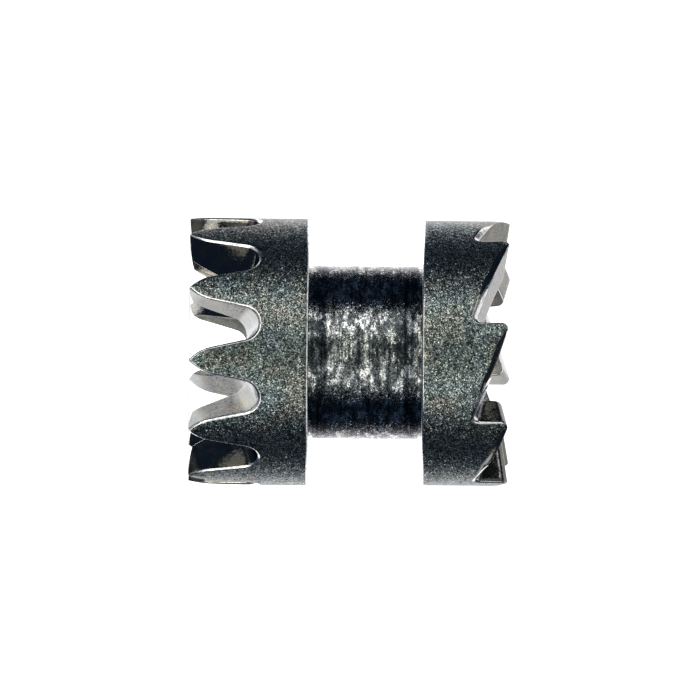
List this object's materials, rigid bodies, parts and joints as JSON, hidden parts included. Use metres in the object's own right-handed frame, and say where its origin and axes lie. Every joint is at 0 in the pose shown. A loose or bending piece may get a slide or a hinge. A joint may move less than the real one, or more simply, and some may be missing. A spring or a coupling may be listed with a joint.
{
  "type": "watch sliding pinion",
  "caption": "Double-headed steel pinion with a square bore: crown teeth at one end, saw-tooth ratchet teeth at the other, and a groove between for the yoke.",
  "frame": {"origin": "centre of the crown end, in the plane of the crown tooth tips that it stands on", "axes": "+Z along the square bore, from the crown teeth towards the ratchet teeth; X and Y square to the flats of the bore"},
  "size_m": [0.002, 0.0018, 0.0023],
  "materials": {
    "steel": "fine matt on the heads, bright on the tooth flanks, turned on the neck"
  },
  "bodies": {
    "root": {"sliding_pinion": "steel"}
  },
  "joints": []
}
